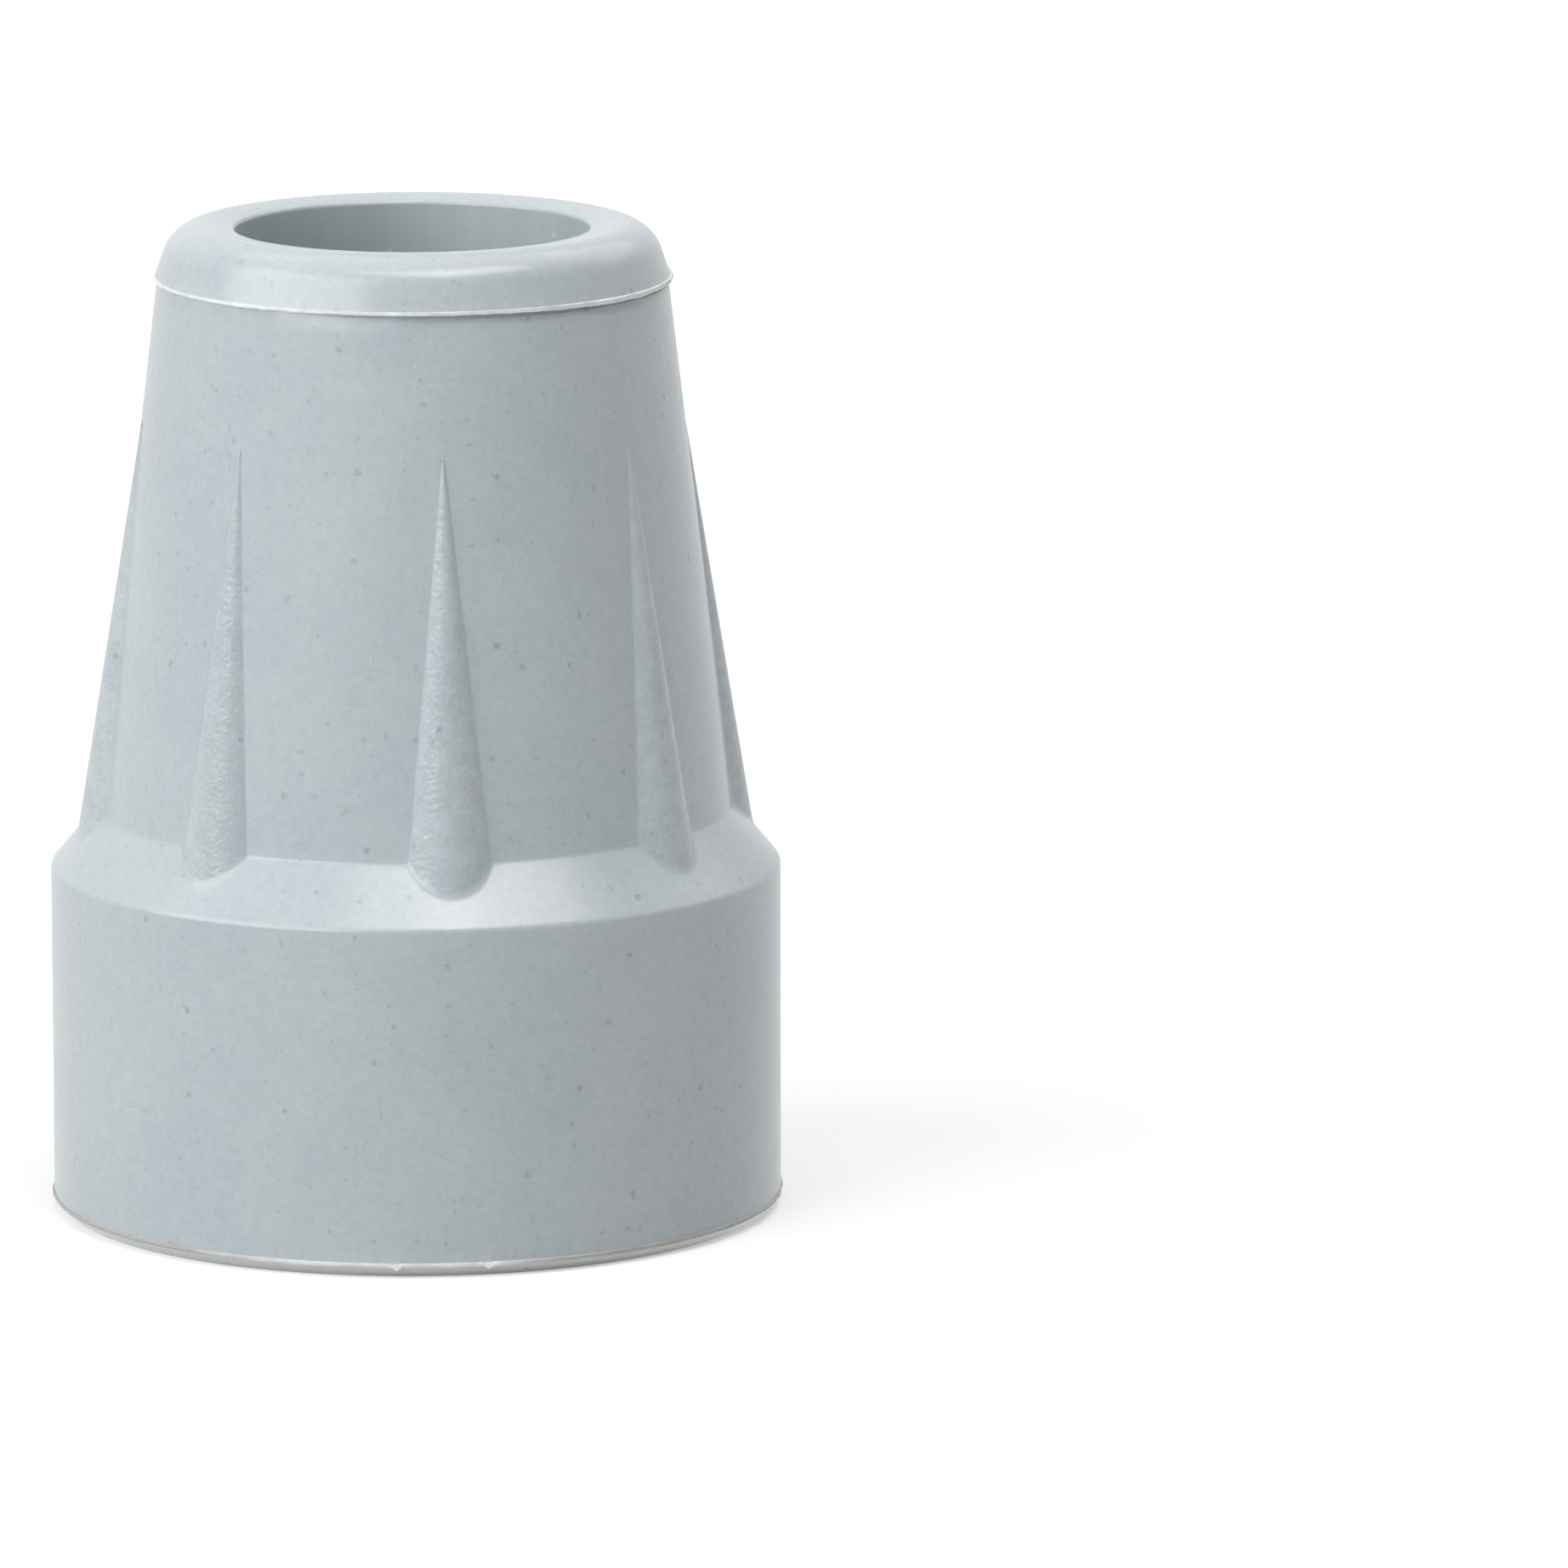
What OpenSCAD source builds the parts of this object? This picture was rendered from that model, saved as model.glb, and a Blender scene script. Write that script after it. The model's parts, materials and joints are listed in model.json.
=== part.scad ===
// Rubber cane tip: one moulded piece, pushed on to the end of a cane's shaft.
// Millimetres, +Z up. The origin is on the floor, on the axis of the tip.

/* [Shaft bore] */
// Diameter of the bore, a push fit on the shaft
bore_d = 19; // [16:0.5:21]
// Depth of the bore, from its mouth to its flat floor
bore_depth = 40; // [20:0.5:42]
// Radius of the edge round the mouth
mouth_edge_r = 0.25; // [0.1:0.05:0.6]
// Radius of the fillet round the bore's floor
bore_floor_r = 1; // [0.4:0.1:3]

/* [Collar] */
// Diameter at the collar's lower edge
collar_d = 27.6; // [27.5:0.1:30]
// Height from the upper parting line to the mouth
collar_h = 2.7; // [2.4:0.1:6]
// Inward lean of the collar's side, in degrees
collar_lean = 18; // [0:1:24]
// Rise of the collar's top outward from the mouth, in degrees
collar_top_rise = 7; // [0:1:10]
// Radius of the rolled edge between the side and the top
collar_roll_r = 2.1; // [0.5:0.1:2.3]

/* [Neck] */
// Diameter of the neck under the collar
neck_top_d = 27.4; // [26:0.1:27.5]
// Diameter of the neck at the shoulder
neck_foot_d = 34.2; // [30:0.1:36]
// Height of the neck, from the shoulder to the upper parting line
neck_h = 28.8; // [22:0.2:45]

/* [Ribs] */
// Number of ribs round the neck
rib_count = 8; // [3:1:10]
// Height of a rib's point above the shoulder
rib_h = 21.4; // [10:0.2:21.8]
// Width of a rib at the shoulder
rib_w = 4.2; // [2.5:0.1:5]
// How far a rib stands out from the neck at the shoulder
rib_proud = 1; // [0.6:0.05:1.4]

/* [Base] */
// Diameter of the base
base_d = 39.4; // [38:0.2:46]
// Height of the base's straight wall, down to the floor
base_h = 18.7; // [14:0.1:26]
// Height of the slope from the base up to the neck
shoulder_h = 3.1; // [1.5:0.1:5]
// Radius of the edge round the top of the base's wall
shoulder_edge_r = 0.4; // [0.1:0.1:1]
// Radius of the fillet where the shoulder meets the neck
neck_fillet_r = 0.3; // [0.1:0.1:1.2]
// Width of the bevel under the base's wall
foot_bevel_w = 0.65; // [0.3:0.05:1.2]
// Height of the bevel, up to the lower parting line
foot_bevel_h = 0.7; // [0.4:0.05:1.2]

/* [Tread] */
// Width of the flat ring that touches the floor
foot_land_w = 0.3; // [0.2:0.1:1]
// Height of the tread's inner faces above the floor
dish_h = 2.3; // [0.8:0.1:3]
// Outer diameter of the outer groove
outer_groove_d = 30.4; // [29:0.2:33]
// Outer diameter of the raised ring
ring_outer_d = 24.3; // [22.5:0.1:25.2]
// Inner diameter of the raised ring, and outer diameter of the inner groove
ring_inner_d = 17.6; // [16.4:0.1:18.6]
// Diameter of the centre disc
disc_d = 10.7; // [8:0.1:11.5]
// Depth of both grooves above the tread's inner faces
groove_depth = 2.9; // [2:0.1:3.3]
// Draft of the grooves' walls, in degrees
groove_draft = 8; // [3:1:12]
// Radius at the root of the grooves' inner walls
groove_root_r = 0.2; // [0.1:0.05:0.3]
// Width of the flat left along the bottom of a groove
groove_floor_w = 0.3; // [0.2:0.05:0.5]
// Radius of the soft edges of the raised ring and the disc
tread_edge_r = 1; // [0.3:0.1:1.2]
// Width of the slope inside the raised ring
ring_slope_w = 0.8; // [0.4:0.1:1.5]
// Depth of the slope inside the raised ring
ring_slope_h = 0.2; // [0.1:0.05:0.4]
// Radius that blends the slope into the ring's face
ring_slope_r = 2; // [0.5:0.5:3]

/* [Moulding marks] */
// How far the flash stands out along both parting lines
flash_proud = 0.14; // [0.05:0.01:0.3]
// Thickness of the flash at its root
flash_t = 0.24; // [0.12:0.02:0.4]
// Diameter of the nub in the middle of the tread
nub_d = 0.6; // [0.4:0.1:1.5]
// Height of the nub
nub_h = 0.12; // [0.06:0.02:0.4]

/* [Hidden] */

rubber_colour = [0.73, 0.77, 0.79];
turn_facets = 96;
arc_facets = 48;
rib_facets = 48;
sliver_margin = 0.1;
arc_overlap = 0.0002;

bore_r = bore_d / 2;
base_r = base_d / 2;
collar_r = collar_d / 2;
neck_top_r = neck_top_d / 2;
neck_foot_r = neck_foot_d / 2;

shoulder_top_z = base_h + shoulder_h;
parting_z = shoulder_top_z + neck_h;
mouth_z = parting_z + collar_h;
bore_floor_z = mouth_z - bore_depth;

// The collar's side and top lines meet at this corner, before it is rolled
side_run = tan(collar_lean);
top_run = tan(collar_top_rise);
collar_corner_r = (collar_r - side_run * (collar_h - bore_r * top_run)) / (1 + side_run * top_run);
collar_corner_z = mouth_z + (collar_corner_r - bore_r) * top_run;

// A rib is a cone with its point just under the neck's surface. Its axis sinks below that
// surface, so the part left standing out has the stated width and height at the shoulder.
rib_point_depth = 0.02;
rib_root = 2.5;
rib_half_run = rib_w / 2 / rib_h;
rib_proud_run = (rib_proud + rib_point_depth) / rib_h;
rib_radius_run = (rib_half_run ^ 2 + rib_proud_run ^ 2) / (2 * rib_proud_run);
neck_run = (neck_foot_r - neck_top_r) / neck_h;
rib_axis_run = neck_run - rib_radius_run + rib_proud_run;
rib_axis_angle = atan(rib_axis_run);
rib_point_z = shoulder_top_z + rib_h;
rib_point_r = neck_foot_r - neck_run * rib_h - rib_point_depth;
rib_length = (rib_h + shoulder_h + rib_root) / cos(rib_axis_angle);

groove_top_z = dish_h + groove_depth;
draft_run = tan(groove_draft);
foot_r = base_r - foot_bevel_w;
foot_land_r = foot_r - foot_land_w;

// Unit vector from one point toward another
function toward(a, b) = (b - a) / norm(b - a);

// Above zero where an anticlockwise outline has an outer corner at b
function turn_at(a, b, c) = cross(b - a, c - b);

// The sliver between a corner and the arc that rounds it. Its straight sides are moved clear of
// the outline's own edges, and the arc crosses them at a slight angle, so neither leaves a step.
module corner_sliver(before, corner, after, r) {
    u = toward(corner, before);
    v = toward(corner, after);
    half_angle = acos(u * v) / 2;
    reach = r / tan(half_angle);
    centre = corner + (u + v) / norm(u + v) * r / sin(half_angle);
    spread = 1 + sliver_margin / r;
    difference() {
        polygon([for (p = [centre, corner + u * reach, corner, corner + v * reach])
            centre + (p - centre) * spread]);
        translate(centre) circle(r + arc_overlap, $fn = arc_facets);
    }
}

// Every sliver of an outline on one side of it: outer corners (1) or inner corners (-1)
module corner_slivers(points, side) {
    n = len(points);
    xy = [for (p = points) [p[0], p[1]]];
    for (i = [0 : n - 1]) {
        before = xy[(i + n - 1) % n];
        after = xy[(i + 1) % n];
        if (points[i][2] > 0 && side * turn_at(before, xy[i], after) > 0)
            corner_sliver(before, xy[i], after, points[i][2]);
    }
}

// Anticlockwise outline from points of the form [x, y, corner radius]
module rounded_outline(points) {
    difference() {
        union() {
            polygon([for (p = points) [p[0], p[1]]]);
            corner_slivers(points, -1);
        }
        corner_slivers(points, 1);
    }
}

// Outline points of a groove, from its inner wall's edge to its outer edge. The outer wall ends
// in an arc that takes up the rest of the width beside the flat.
function groove_points(inner_r, outer_r, outer_z, edge_r) =
    let (floor_in = inner_r + groove_depth * draft_run)
    let (floor_out = outer_r - (groove_top_z - outer_z) * draft_run)
    let (arc_r = (floor_out - floor_in - groove_floor_w) * tan(45 + groove_draft / 2))
    [
        [inner_r, dish_h, edge_r],
        [floor_in, groove_top_z, groove_root_r],
        [floor_out, groove_top_z, arc_r],
        [outer_r, outer_z, 0],
    ];

// Outline points of a line of flash, from below it to above it
function flash_points(r_below, r_above, z) = [
    [r_below, z - flash_t / 2, 0],
    [max(r_below, r_above) + flash_proud, z - flash_t / 4, 0],
    [max(r_below, r_above) + flash_proud, z + flash_t / 4, 0],
    [r_above, z + flash_t / 2, 0],
];

// Half section of the tip in the plane of radius and height, ribs left off
module half_section() {
    nub_points = [
        [0, dish_h - nub_h, 0],
        [nub_d / 4, dish_h - nub_h, 0],
        [nub_d / 2, dish_h, 0],
    ];
    foot_points = [
        [foot_land_r, 0, 0],
        [foot_r, 0, 0],
    ];
    shoulder_points = [
        [base_r, base_h, shoulder_edge_r],
        [neck_foot_r, shoulder_top_z, neck_fillet_r],
    ];
    collar_points = [
        [collar_corner_r, collar_corner_z, collar_roll_r],
        [bore_r, mouth_z, mouth_edge_r],
    ];
    bore_floor_points = [
        [bore_r, bore_floor_z, bore_floor_r],
        [0, bore_floor_z, 0],
    ];
    rounded_outline(concat(
        nub_points,
        groove_points(disc_d / 2, ring_inner_d / 2, dish_h + ring_slope_h, tread_edge_r),
        [[ring_inner_d / 2 + ring_slope_w, dish_h, ring_slope_r]],
        groove_points(ring_outer_d / 2, outer_groove_d / 2, dish_h, tread_edge_r),
        foot_points,
        flash_points(base_r, base_r, foot_bevel_h),
        shoulder_points,
        flash_points(neck_top_r, collar_r, parting_z),
        collar_points,
        bore_floor_points
    ));
}

// One tapered rib, along +X
module rib() {
    translate([rib_point_r, 0, rib_point_z])
        rotate([0, 180 - rib_axis_angle, 0])
            cylinder(h = rib_length, r1 = 0, r2 = rib_length * rib_radius_run, $fn = rib_facets);
}

// The whole moulded tip. The ribs stand either side of +X, and the turned body starts and ends
// on plain neck, midway from +X to a rib.
module rubber_tip() {
    rib_pitch = 360 / rib_count;
    color(rubber_colour) {
        rotate([0, 0, rib_pitch / 4])
            rotate_extrude($fn = turn_facets) half_section();
        for (i = [0 : rib_count - 1])
            rotate([0, 0, (i + 0.5) * rib_pitch]) rib();
    }
}

rubber_tip();
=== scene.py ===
"""Rubber cane tip: the moulded tip in fine detail, and the plain studio it stands in."""
import json
import math
from collections import namedtuple
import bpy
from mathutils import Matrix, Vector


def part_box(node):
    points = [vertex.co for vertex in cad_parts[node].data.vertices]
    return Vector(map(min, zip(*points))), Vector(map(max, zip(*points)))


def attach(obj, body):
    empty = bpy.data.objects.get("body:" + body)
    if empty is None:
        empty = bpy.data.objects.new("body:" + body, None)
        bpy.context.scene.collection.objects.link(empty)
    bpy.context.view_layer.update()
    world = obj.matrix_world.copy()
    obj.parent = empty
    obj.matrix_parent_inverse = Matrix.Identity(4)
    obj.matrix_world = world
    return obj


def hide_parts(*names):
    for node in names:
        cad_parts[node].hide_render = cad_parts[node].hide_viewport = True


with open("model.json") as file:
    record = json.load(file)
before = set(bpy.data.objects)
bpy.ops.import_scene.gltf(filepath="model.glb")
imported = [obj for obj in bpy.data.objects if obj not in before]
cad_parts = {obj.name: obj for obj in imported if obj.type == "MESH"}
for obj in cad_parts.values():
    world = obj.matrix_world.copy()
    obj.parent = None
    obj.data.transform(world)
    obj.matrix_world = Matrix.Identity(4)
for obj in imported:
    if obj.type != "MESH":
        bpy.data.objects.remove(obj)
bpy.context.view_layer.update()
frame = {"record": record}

from types import SimpleNamespace

import bmesh
import bpy
from bpy.props import FloatProperty, FloatVectorProperty, IntProperty, PointerProperty
from mathutils import Matrix, Vector, noise

bl_info = {
    "name": "Rubber Cane Tip",
    "version": (1, 0, 0),
    "blender": (4, 5, 0),
    "location": "3D View > Sidebar > Cane Tip",
    "description": "Builds a moulded rubber cane tip and the plain studio it stands in",
    "category": "Object",
}

MM = 0.001
CAD_LOW, CAD_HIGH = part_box("rubber_tip")
SHAFT_BORE = next(m for m in frame["record"]["mounts"] if m["name"] == "shaft_bore")

# Columns of faces in the pitch of one rib. Half a pitch holds, from the rib's middle outward, the
# columns over the rib, those over the fillet at its side, and the wide ones on the plain neck.
COLUMNS_PER_RIB = 48
RIB_COLUMNS = 11
FILLET_COLUMNS = 6

# Tolerances in millimetres, of a place along a line and of a radius
LINE_TOLERANCE, RADIUS_TOLERANCE = 1e-4, 1e-3

# The mesh's material slots, in the order that its materials are added
RUBBER_SLOT, FLASH_SLOT, BORE_SLOT = range(3)

# Edges that turn more than this stay sharp
SHARP_ANGLE = math.radians(30)

# Flash below this height, in metres, is dirty
GRIME_TOP = 0.004

# Moves a texture off the place of another one of the same kind, in metres
ASIDE = (0.31, 0.17, 0.53)

# Patterns of the tears along the two lines of flash, and of the hollow under the collar's
COLLAR_SEED, FOOT_SEED, HOLLOW_SEED = 3, 11, 5

# Loose tags of flash at the foot: turn from +X in degrees, width and drop in millimetres
FOOT_TAGS = ((-77.0, 0.8, 0.32), (-62.8, 0.9, 0.26), (38.0, 0.9, 0.3), (151.0, 0.8, 0.28))

# Specks of one kind: spacing and size in metres, and strength of their colour from 0 to 1
Specks = namedtuple("Specks", "spacing size strength")
BOLD_SPECKS = Specks(0.0012, 0.00029, 0.48)
FINE_SPECKS = Specks(0.00062, 0.00017, 0.29)
DUST_SPECKS = Specks(0.0009, 0.00016, 0.22)
BORE_DUST = Specks(0.0019, 0.0003, 0.5)
BORE_SPECKS = Specks(0.0011, 0.0002, 0.45)


def length(name, size_mm, description):
    """A length property, with its default given in millimetres."""
    return FloatProperty(name=name, description=description, default=size_mm * MM, min=0.0,
                         precision=5, unit="LENGTH", subtype="DISTANCE")


def angle(name, degrees, description):
    """An angle property, with its default given in degrees."""
    return FloatProperty(name=name, description=description, default=math.radians(degrees),
                         unit="ROTATION", subtype="ANGLE")


def factor(name, default, description):
    """A number from 0 to 1."""
    return FloatProperty(name=name, description=description, default=default, min=0.0, max=1.0,
                         subtype="FACTOR")


def colour(name, rgb, description):
    """A colour property."""
    return FloatVectorProperty(name=name, description=description, default=rgb, size=3,
                               min=0.0, max=1.0, subtype="COLOR")


class TipSizes(bpy.types.PropertyGroup):
    """Outside of the tip and its bore."""
    bore_r: length("Bore radius", SHAFT_BORE["dims"]["r_mm"], "Radius of the shaft bore")
    bore_depth: length("Bore depth", 40, "From the mouth to the bore's flat floor")
    bore_floor_r: length("Bore floor fillet", 1, "Radius round the bore's floor")
    mouth_edge_r: length("Mouth edge", 0.25, "Radius of the edge round the mouth")
    collar_r: length("Collar radius", 13.8, "Radius at the collar's lower edge")
    collar_h: length("Collar height", 2.7, "From the upper parting line to the mouth")
    collar_lean: angle("Collar lean", 18, "Inward lean of the collar's side")
    collar_top_rise: angle("Collar rise", 7, "Rise of the collar's top outward from the mouth")
    collar_roll_r: length("Collar roll", 2.1, "Radius between the collar's side and top")
    neck_top_r: length("Neck top radius", 13.7, "Radius of the neck under the collar")
    neck_foot_r: length("Neck foot radius", 17.1, "Radius of the neck at the shoulder")
    neck_h: length("Neck height", 28.8, "From the shoulder to the upper parting line")
    neck_fillet_r: length("Neck fillet", 0.3, "Radius where the shoulder meets the neck")
    shoulder_h: length("Shoulder height", 3.1, "Height of the slope from the base to the neck")
    shoulder_edge_r: length("Shoulder edge", 0.4, "Radius round the top of the base's wall")
    base_r: length("Base radius", 19.7, "Radius of the base")
    base_h: length("Base height", 18.7, "From the floor to the top of the base's wall")
    foot_bevel_w: length("Foot bevel width", 0.65, "Width of the bevel under the base's wall")
    foot_bevel_h: length("Foot bevel height", 0.7, "Height of the lower parting line")


class TreadSizes(bpy.types.PropertyGroup):
    """Ringed tread under the base."""
    land_w: length("Foot land", 0.3, "Width of the flat ring that touches the floor")
    dish_h: length("Dish", 2.3, "Height of the inner faces above the floor")
    outer_groove_r: length("Outer groove", 15.2, "Outer radius of the outer groove")
    ring_outer_r: length("Ring outside", 12.15, "Outer radius of the raised ring")
    ring_inner_r: length("Ring inside", 8.8, "Inner radius of the raised ring")
    disc_r: length("Disc", 5.35, "Radius of the centre disc")
    groove_depth: length("Groove depth", 2.9, "Depth of both grooves above the inner faces")
    groove_draft: angle("Groove draft", 8, "Lean of the grooves' walls")
    groove_root_r: length("Groove root", 0.2, "Radius at the root of the inner walls")
    groove_floor_w: length("Groove flat", 0.3, "Width of the flat along a groove")
    edge_r: length("Tread edge", 1, "Radius of the soft edges of the ring and the disc")
    slope_w: length("Slope width", 0.8, "Width of the slope inside the ring")
    slope_h: length("Slope depth", 0.2, "Depth of the slope inside the ring")
    slope_r: length("Slope blend", 2, "Radius that blends the slope into the ring's face")
    nub_r: length("Nub radius", 0.3, "Radius of the nub in the middle")
    nub_h: length("Nub height", 0.12, "Height of the nub in the middle")


class RibSizes(bpy.types.PropertyGroup):
    """Tapered ribs round the neck."""
    count: IntProperty(name="Ribs", description="Number of ribs", default=8, min=3, max=12)
    height: length("Rib height", 21.4, "Height of a rib's point above the shoulder")
    width: length("Rib width", 4.05, "Width of a rib at the shoulder")
    proud: length("Rib depth", 1.0, "How far a rib stands out at the shoulder")
    point_proud: length("Point", 0.05, "How far a rib's point stands out of the neck")
    side_blend: length("Side blend", 0.07, "Softness of the corner along a rib's side")
    foot_blend: length("Foot blend", 0.22, "Softness of the corner round a rib's foot")


class FlashSizes(bpy.types.PropertyGroup):
    """Thin torn flash along the two parting lines."""
    collar_proud: length("Collar flash", 0.18, "How far whole flash stands out at the collar")
    foot_proud: length("Foot flash", 0.12, "How far whole flash stands out at the foot")
    thickness: length("Flash thickness", 0.24, "Thickness at its root")
    slip: length("Mould slip", 0.2, "How far the collar's half of the mould stood to one side")
    slip_turn: angle("Slip direction", -18, "Turn from +X to the side where the collar overhangs")
    slip_h: length("Slip height", 0.2, "Height of the hollow under the overhang")
    slip_lip: length("Slip lip", 0.12, "How much thicker the collar's flash is at the overhang")
    torn: factor("Torn share", 0.75, "Largest share of the flash that is torn away")
    tear_length: length("Tear length", 1.5, "Usual length of a tear along the line")
    rise: length("Rise", 0.05, "How far the edge of the flash curls up")
    waver: length("Waver", 0.06, "How far the torn edge wavers up and down")


class TipFinish(bpy.types.PropertyGroup):
    """Colours and surface of the rubber."""
    rubber: colour("Rubber", (0.508, 0.579, 0.610), "Colour of the moulded rubber")
    rubber_cool: colour("Rubber, cooler", (0.470, 0.541, 0.591), "Colour of its bluer patches")
    bore: colour("Bore", (0.475, 0.55, 0.57), "Colour of the bore's wall")
    flash: colour("Flash", (0.88, 0.91, 0.93), "Colour of the thin torn flash")
    flash_grime: colour("Grimy flash", (0.50, 0.49, 0.47), "Colour of the flash where it is dirty")
    clean_turn: angle("Clean stretch", -81, "Turn from +X to the foot's clean stretch of flash")
    # Painted light: the foot's bevel is made paler near the floor to stand in for the floor's
    # bounce light
    foot_bounce_light: colour("Painted foot light", (0.80, 0.79, 0.76), "Colour of the painted bounce light on the foot's bevel")
    foot_bounce_light_h: length("Painted light height", 0.75, "Height above the floor that the painted light reaches")
    speck: colour("Specks", (0.16, 0.20, 0.24), "Colour of the dark specks in the rubber")
    dust: colour("Dust", (0.86, 0.88, 0.88), "Colour of the light specks and scuffs")
    grain_size: length("Grain", 0.12, "Size of the moulded grain")
    rib_grain_size: length("Rib grain", 0.25, "Size of the coarser grain on the ribs")


class StudioSetup(bpy.types.PropertyGroup):
    """Camera and light of the studio."""
    camera_distance: length("Camera distance", 702.9, "Level distance from the tip's axis")
    camera_height: length("Camera height", 156.1, "Height above the floor")
    camera_azimuth: angle("Camera azimuth", 16.4, "Turn of the camera's place from -Y to +X")
    camera_yaw: angle("Camera yaw", 1.621, "Turn of the view to the right of the axis")
    camera_pitch: angle("Camera pitch", 10.737, "Downward tilt of the view")
    camera_roll: angle("Camera roll", -0.04, "Roll of the view")
    camera_lens: FloatProperty(name="Lens", description="Focal length", default=304.15, min=1.0,
                               unit="CAMERA")
    sky: FloatProperty(name="Sky", description="Strength of the even light all round",
                       default=0.03, min=0.0)
    floor_lift: FloatProperty(name="Floor lift", description="Lift of the floor towards white",
                              default=0.42, min=0.0)
    far_lift: FloatProperty(name="Far lift", description="Lift of the floor far from the tip",
                            default=0.75, min=0.0)
    far_off: length("Far floor", 350, "Distance from the tip where the far lift is reached")


Corner = namedtuple("Corner", "r z edge_r step")
Corner.__doc__ = """One corner of the half section, in millimetres: its place, the radius that
rounds it, and the longest stretch without a row of vertices on the straight line that follows."""


def in_mm(group):
    """The group's values with lengths in millimetres, a scale that suits the mesh tools."""
    values = {}
    for prop in group.bl_rna.properties:
        if prop.identifier not in ("rna_type", "name"):
            value = getattr(group, prop.identifier)
            values[prop.identifier] = value / MM if prop.unit == "LENGTH" else value
    return SimpleNamespace(**values)


def groove_corners(tread, inner_r, outer_r, outer_z):
    """A groove: soft inner edge, straight inner wall, narrow flat and quarter-round outer wall."""
    top_z = tread.dish_h + tread.groove_depth
    run = math.tan(tread.groove_draft)
    floor_in = inner_r + tread.groove_depth * run
    floor_out = outer_r - (top_z - outer_z) * run
    arc_r = (floor_out - floor_in - tread.groove_floor_w) * math.tan(
        math.pi / 4 + tread.groove_draft / 2)
    return [
        Corner(inner_r, tread.dish_h, tread.edge_r, 0.8),
        Corner(floor_in, top_z, tread.groove_root_r, 1),
        Corner(floor_out, top_z, arc_r, 1),
        Corner(outer_r, outer_z, 0, 1),
    ]


def flash_corners(flash, proud, r_below, r_above, z, step):
    """A fin of flash on a parting line."""
    tip_r = max(r_below, r_above) + proud
    return [
        Corner(r_below, z - flash.thickness / 2, 0, 1),
        Corner(tip_r, z - flash.thickness / 4, 0, 1),
        Corner(tip_r, z + flash.thickness / 4, 0, 1),
        Corner(r_above, z + flash.thickness / 2, 0, step),
    ]


def section_corners(tip, tread, ribs, flash):
    """Half section of the tip, anticlockwise from the tread's nub to the bore's floor."""
    shoulder_top = tip.base_h + tip.shoulder_h
    parting = shoulder_top + tip.neck_h
    mouth = parting + tip.collar_h
    bore_floor = mouth - tip.bore_depth
    side_run, top_run = math.tan(tip.collar_lean), math.tan(tip.collar_top_rise)
    roll_r = (tip.collar_r - side_run * (tip.collar_h - tip.bore_r * top_run)) / (
        1 + side_run * top_run)
    roll_z = mouth + (roll_r - tip.bore_r) * top_run
    foot_r = tip.base_r - tip.foot_bevel_w
    rib_top = shoulder_top + ribs.height
    neck_run = (tip.neck_foot_r - tip.neck_top_r) / tip.neck_h
    rib_top_r = tip.neck_foot_r - neck_run * ribs.height
    hollow = flash.thickness / 2 + flash.slip_h
    return [
        Corner(0, tread.dish_h - tread.nub_h, 0, 1),
        Corner(tread.nub_r / 2, tread.dish_h - tread.nub_h, 0, 1),
        Corner(tread.nub_r, tread.dish_h, 0, 1.2),
        *groove_corners(tread, tread.disc_r, tread.ring_inner_r, tread.dish_h + tread.slope_h),
        Corner(tread.ring_inner_r + tread.slope_w, tread.dish_h, tread.slope_r, 1),
        *groove_corners(tread, tread.ring_outer_r, tread.outer_groove_r, tread.dish_h)[:-1],
        Corner(tread.outer_groove_r, tread.dish_h, 0, 0.7),
        Corner(foot_r - tread.land_w, 0, 0, 0.3),
        Corner(foot_r, 0, 0, 0.3),
        *flash_corners(flash, flash.foot_proud, tip.base_r, tip.base_r, tip.foot_bevel_h, 1.1),
        Corner(tip.base_r, tip.base_h, tip.shoulder_edge_r, 0.15),
        Corner(tip.neck_foot_r, shoulder_top, tip.neck_fillet_r, 0.42),
        Corner(rib_top_r, rib_top, 0, 0.9),
        Corner(tip.neck_top_r + neck_run * hollow, parting - hollow, 0, 1),
        *flash_corners(flash, flash.collar_proud, tip.neck_top_r, tip.collar_r, parting, 0.5),
        Corner(roll_r, roll_z, tip.collar_roll_r, 0.7),
        Corner(tip.bore_r, mouth, tip.mouth_edge_r, 2.6),
        Corner(tip.bore_r, bore_floor, tip.bore_floor_r, 2.2),
        Corner(0, bore_floor, 0, 1),
    ]


def corner_reach(before, corner, after, radius):
    """How far along its two lines a rounded corner starts, and the angle that the arc turns."""
    here = Vector((corner.r, corner.z))
    opening = (Vector((before.r, before.z)) - here).angle(Vector((after.r, after.z)) - here)
    return radius / math.tan(opening / 2), math.pi - opening


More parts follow.
